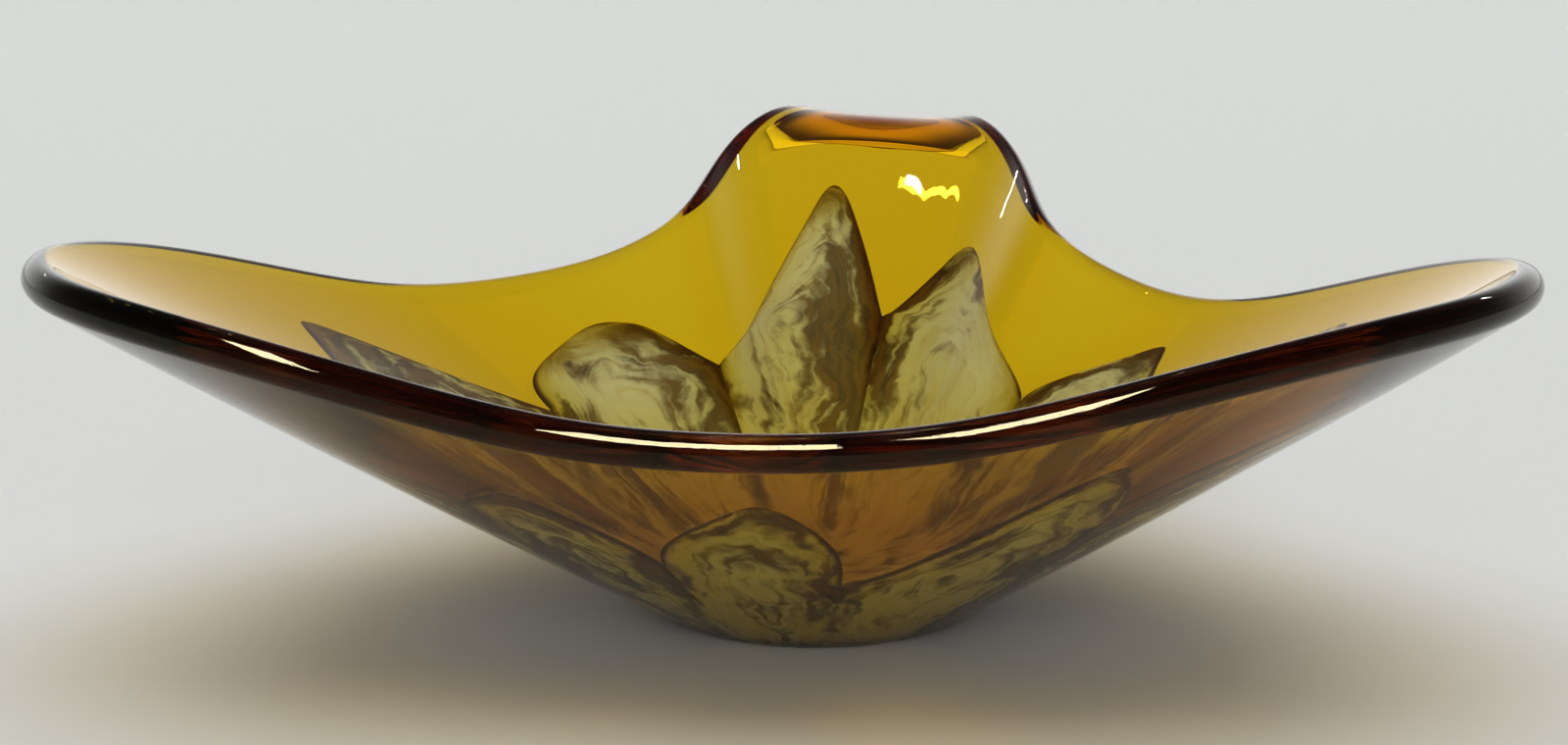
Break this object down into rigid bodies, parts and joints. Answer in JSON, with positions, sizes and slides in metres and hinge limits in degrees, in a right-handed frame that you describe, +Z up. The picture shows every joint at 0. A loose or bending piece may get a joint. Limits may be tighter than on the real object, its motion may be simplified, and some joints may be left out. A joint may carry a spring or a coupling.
{
  "type": "art glass bowl",
  "caption": "Wide free-form amber glass bowl with pulled lobes, a thick rounded rim, a flat foot and a sealed star of mottled cream petals.",
  "frame": {"origin": "centre of the flat ground foot, on the surface that the bowl stands on", "axes": "+Z up; +Y towards the tall back lobe (within 4 degrees); +X to the right as seen from the low front edge"},
  "size_m": [0.369, 0.3516, 0.1072],
  "materials": {
    "amber_casing": "fire-polished clear amber",
    "amber_lining": "fire-polished clear golden amber",
    "mottled_glass": "mottled cream with brown streaks, sealed",
    "aubergine_glass": "dark aubergine brown, sealed"
  },
  "bodies": {
    "root": {"outer_casing": "amber_casing", "inner_lining": "amber_lining", "star_heart": "mottled_glass", "petal_1": "mottled_glass", "petal_2": "mottled_glass", "petal_3": "mottled_glass", "petal_4": "mottled_glass", "petal_5": "mottled_glass", "petal_6": "mottled_glass", "petal_7": "mottled_glass", "petal_8": "mottled_glass", "petal_9": "mottled_glass", "petal_10": "mottled_glass", "petal_11": "mottled_glass", "petal_edge_1": "aubergine_glass", "petal_edge_2": "aubergine_glass", "petal_edge_3": "aubergine_glass", "petal_edge_4": "aubergine_glass", "petal_edge_5": "aubergine_glass", "petal_edge_6": "aubergine_glass", "petal_edge_7": "aubergine_glass", "petal_edge_8": "aubergine_glass", "petal_edge_9": "aubergine_glass", "petal_edge_10": "aubergine_glass", "petal_edge_11": "aubergine_glass"}
  },
  "joints": []
}
